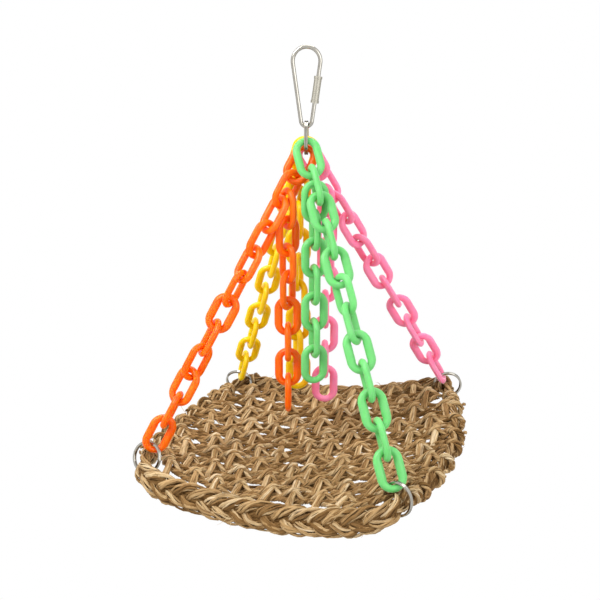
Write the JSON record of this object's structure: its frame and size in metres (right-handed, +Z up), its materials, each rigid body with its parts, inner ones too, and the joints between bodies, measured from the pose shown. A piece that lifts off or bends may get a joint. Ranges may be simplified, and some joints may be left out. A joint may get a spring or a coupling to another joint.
{
  "type": "hanging bird toy",
  "caption": "Woven grass mat swing for cage birds, hung by its corners on coloured plastic link chains from one screw quick link, with loose chain ends above the mat",
  "frame": {"origin": "the inner top of the quick link's bow, where the toy hangs", "axes": "+Z up; the mat's sides run along X and Y, and its front edge is at -Y"},
  "size_m": [0.2132, 0.1982, 0.2903],
  "materials": {
    "nickel": "bright nickel plate",
    "orange_plastic": "semi-gloss moulded",
    "green_plastic": "semi-gloss moulded",
    "pink_plastic": "semi-gloss moulded",
    "yellow_plastic": "semi-gloss moulded",
    "seagrass": "dry plaited grass"
  },
  "bodies": {
    "quick_link": {"quick_link_body": "nickel"},
    "sleeve": {"quick_link_sleeve": "nickel"},
    "top_ring": {"top_split_ring": "nickel"},
    "hanger": {"orange_top_link": "orange_plastic", "green_top_link": "green_plastic", "pink_top_link": "pink_plastic", "yellow_top_link": "yellow_plastic", "orange_support_links": "orange_plastic", "green_support_links": "green_plastic", "pink_support_links": "pink_plastic", "yellow_support_links": "yellow_plastic", "orange_loose_1": "orange_plastic", "green_loose_1": "green_plastic", "pink_loose_1": "pink_plastic", "yellow_loose_1": "yellow_plastic", "mat_net": "seagrass", "mat_border": "seagrass"},
    "orange_corner_ring": {"orange_corner_ring": "nickel"},
    "orange_loose_2": {"orange_loose_2": "orange_plastic"},
    "orange_loose_3": {"orange_loose_3": "orange_plastic"},
    "orange_loose_4": {"orange_loose_4": "orange_plastic"},
    "orange_loose_5": {"orange_loose_5": "orange_plastic"},
    "orange_loose_6": {"orange_loose_6": "orange_plastic"},
    "orange_loose_7": {"orange_loose_7": "orange_plastic"},
    "orange_loose_8": {"orange_loose_8": "orange_plastic"},
    "green_corner_ring": {"green_corner_ring": "nickel"},
    "green_loose_2": {"green_loose_2": "green_plastic"},
    "green_loose_3": {"green_loose_3": "green_plastic"},
    "green_loose_4": {"green_loose_4": "green_plastic"},
    "green_loose_5": {"green_loose_5": "green_plastic"},
    "green_loose_6": {"green_loose_6": "green_plastic"},
    "green_loose_7": {"green_loose_7": "green_plastic"},
    "pink_corner_ring": {"pink_corner_ring": "nickel"},
    "pink_loose_2": {"pink_loose_2": "pink_plastic"},
    "pink_loose_3": {"pink_loose_3": "pink_plastic"},
    "pink_loose_4": {"pink_loose_4": "pink_plastic"},
    "pink_loose_5": {"pink_loose_5": "pink_plastic"},
    "pink_loose_6": {"pink_loose_6": "pink_plastic"},
    "pink_loose_7": {"pink_loose_7": "pink_plastic"},
    "pink_loose_8": {"pink_loose_8": "pink_plastic"},
    "yellow_corner_ring": {"yellow_corner_ring": "nickel"},
    "yellow_loose_2": {"yellow_loose_2": "yellow_plastic"},
    "yellow_loose_3": {"yellow_loose_3": "yellow_plastic"},
    "yellow_loose_4": {"yellow_loose_4": "yellow_plastic"},
    "yellow_loose_5": {"yellow_loose_5": "yellow_plastic"},
    "yellow_loose_6": {"yellow_loose_6": "yellow_plastic"},
    "yellow_loose_7": {"yellow_loose_7": "yellow_plastic"},
    "yellow_loose_8": {"yellow_loose_8": "yellow_plastic"}
  },
  "joints": [
    {"name": "sleeve_screw", "type": "slide", "parent": "quick_link", "child": "sleeve", "axis": [0.1348, 0.0438, 0.9899], "range_m": [0, 0.0075]},
    {"name": "ring_on_bow", "type": "hinge", "parent": "quick_link", "child": "top_ring", "pos_m": [0, 0, -0.045], "axis": [-0.309, 0.9511, 0], "range_deg": [-35, 35]},
    {"name": "chains_on_ring", "type": "hinge", "parent": "top_ring", "child": "hanger", "pos_m": [0, 0, -0.05604], "axis": [0.9511, 0.309, 0], "range_deg": [-30, 30]},
    {"name": "orange_ring_turn", "type": "hinge", "parent": "hanger", "child": "orange_corner_ring", "pos_m": [-0.08685, -0.07506, -0.26583], "axis": [-0.1086, -0.9194, 0.3781], "continuous": true},
    {"name": "green_ring_turn", "type": "hinge", "parent": "hanger", "child": "green_corner_ring", "pos_m": [0.0869, -0.07512, -0.26407], "axis": [0.4218, 0.8985, -0.1214], "continuous": true},
    {"name": "pink_ring_turn", "type": "hinge", "parent": "hanger", "child": "pink_corner_ring", "pos_m": [0.08676, 0.07498, -0.24433], "axis": [-0.3716, 0.9101, 0.1834], "continuous": true},
    {"name": "yellow_ring_turn", "type": "hinge", "parent": "hanger", "child": "yellow_corner_ring", "pos_m": [-0.0869, 0.07512, -0.26407], "axis": [0.162, -0.9149, -0.3696], "continuous": true},
    {"name": "orange_swing_2", "type": "hinge", "parent": "hanger", "child": "orange_loose_2", "pos_m": [-0.00902, -0.01137, -0.1137], "axis": [-0.8059, 0.592, 0], "range_deg": [-6, 12]},
    {"name": "orange_swing_3", "type": "hinge", "parent": "orange_loose_2", "child": "orange_loose_3", "pos_m": [-0.00902, -0.01137, -0.1322], "axis": [-0.592, -0.8059, 0], "range_deg": [-12, 6.1]},
    {"name": "orange_swing_4", "type": "hinge", "parent": "orange_loose_3", "child": "orange_loose_4", "pos_m": [-0.00902, -0.01137, -0.1507], "axis": [-0.8059, 0.592, 0], "range_deg": [-6, 12]},
    {"name": "orange_swing_5", "type": "hinge", "parent": "orange_loose_4", "child": "orange_loose_5", "pos_m": [-0.00902, -0.01137, -0.1692], "axis": [-0.1444, -0.9895, 0], "range_deg": [-12, 12]},
    {"name": "orange_swing_6", "type": "hinge", "parent": "orange_loose_5", "child": "orange_loose_6", "pos_m": [-0.00902, -0.01137, -0.1877], "axis": [-0.9415, -0.3371, 0], "range_deg": [-12, 12]},
    {"name": "orange_swing_7", "type": "hinge", "parent": "orange_loose_6", "child": "orange_loose_7", "pos_m": [-0.00902, -0.01137, -0.2062], "axis": [-0.3371, 0.9415, 0], "range_deg": [-6, 12]},
    {"name": "orange_swing_8", "type": "hinge", "parent": "orange_loose_7", "child": "orange_loose_8", "pos_m": [-0.00902, -0.01137, -0.2247], "axis": [-0.9415, -0.3371, 0], "range_deg": [-12, 12]},
    {"name": "green_swing_2", "type": "hinge", "parent": "hanger", "child": "green_loose_2", "pos_m": [0.01163, -0.01534, -0.10731], "axis": [-0.8171, -0.5764, 0], "range_deg": [-4.8, 12]},
    {"name": "green_swing_3", "type": "hinge", "parent": "green_loose_2", "child": "green_loose_3", "pos_m": [0.01163, -0.01534, -0.12581], "axis": [0.5764, -0.8171, 0], "range_deg": [-9.6, 12]},
    {"name": "green_swing_4", "type": "hinge", "parent": "green_loose_3", "child": "green_loose_4", "pos_m": [0.01163, -0.01534, -0.14431], "axis": [-0.8171, -0.5764, 0], "range_deg": [-6, 12]},
    {"name": "green_swing_5", "type": "hinge", "parent": "green_loose_4", "child": "green_loose_5", "pos_m": [0.01163, -0.01534, -0.16281], "axis": [0.5764, -0.8171, 0], "range_deg": [-12, 12]},
    {"name": "green_swing_6", "type": "hinge", "parent": "green_loose_5", "child": "green_loose_6", "pos_m": [0.01163, -0.01534, -0.18131], "axis": [-0.8171, -0.5764, 0], "range_deg": [-6, 12]},
    {"name": "green_swing_7", "type": "hinge", "parent": "green_loose_6", "child": "green_loose_7", "pos_m": [0.01163, -0.01534, -0.19981], "axis": [0.5764, -0.8171, 0], "range_deg": [-12, 12]},
    {"name": "pink_swing_2", "type": "hinge", "parent": "hanger", "child": "pink_loose_2", "pos_m": [0.00993, 0.01212, -0.11302], "axis": [0.8059, -0.592, 0], "range_deg": [-3.1, 12]},
    {"name": "pink_swing_3", "type": "hinge", "parent": "pink_loose_2", "child": "pink_loose_3", "pos_m": [0.00993, 0.01212, -0.13152], "axis": [0.592, 0.8059, 0], "range_deg": [-6.3, 4.9]},
    {"name": "pink_swing_4", "type": "hinge", "parent": "pink_loose_3", "child": "pink_loose_4", "pos_m": [0.00993, 0.01212, -0.15002], "axis": [0.8059, -0.592, 0], "range_deg": [-3.1, 12]},
    {"name": "pink_swing_5", "type": "hinge", "parent": "pink_loose_4", "child": "pink_loose_5", "pos_m": [0.00993, 0.01212, -0.16852], "axis": [0.9157, 0.4019, 0], "range_deg": [-6.3, 12]},
    {"name": "pink_swing_6", "type": "hinge", "parent": "pink_loose_5", "child": "pink_loose_6", "pos_m": [0.00993, 0.01212, -0.18702], "axis": [0.4019, -0.9157, 0], "range_deg": [-6, 12]},
    {"name": "pink_swing_7", "type": "hinge", "parent": "pink_loose_6", "child": "pink_loose_7", "pos_m": [0.00993, 0.01212, -0.20552], "axis": [0.9157, 0.4019, 0], "range_deg": [-12, 12]},
    {"name": "pink_swing_8", "type": "hinge", "parent": "pink_loose_7", "child": "pink_loose_8", "pos_m": [0.00993, 0.01212, -0.22402], "axis": [0.4019, -0.9157, 0], "range_deg": [-6, 12]},
    {"name": "yellow_swing_2", "type": "hinge", "parent": "hanger", "child": "yellow_loose_2", "pos_m": [-0.01163, 0.01534, -0.10731], "axis": [0.8171, 0.5764, 0], "range_deg": [-3.1, 12]},
    {"name": "yellow_swing_3", "type": "hinge", "parent": "yellow_loose_2", "child": "yellow_loose_3", "pos_m": [-0.01163, 0.01534, -0.12581], "axis": [-0.5764, 0.8171, 0], "range_deg": [-6.3, 12]},
    {"name": "yellow_swing_4", "type": "hinge", "parent": "yellow_loose_3", "child": "yellow_loose_4", "pos_m": [-0.01163, 0.01534, -0.14431], "axis": [0.8171, 0.5764, 0], "range_deg": [-3.1, 12]},
    {"name": "yellow_swing_5", "type": "hinge", "parent": "yellow_loose_4", "child": "yellow_loose_5", "pos_m": [-0.01163, 0.01534, -0.16281], "axis": [-0.0906, 0.9959, 0], "range_deg": [-6.3, 12]},
    {"name": "yellow_swing_6", "type": "hinge", "parent": "yellow_loose_5", "child": "yellow_loose_6", "pos_m": [-0.01163, 0.01534, -0.18131], "axis": [-0.9078, 0.4195, 0], "range_deg": [-12, 12]},
    {"name": "yellow_swing_7", "type": "hinge", "parent": "yellow_loose_6", "child": "yellow_loose_7", "pos_m": [-0.01163, 0.01534, -0.19981], "axis": [0.8171, 0.5764, 0], "range_deg": [-6, 12]},
    {"name": "yellow_swing_8", "type": "hinge", "parent": "yellow_loose_7", "child": "yellow_loose_8", "pos_m": [-0.01163, 0.01534, -0.21831], "axis": [-0.5764, 0.8171, 0], "range_deg": [-12, 12]}
  ]
}
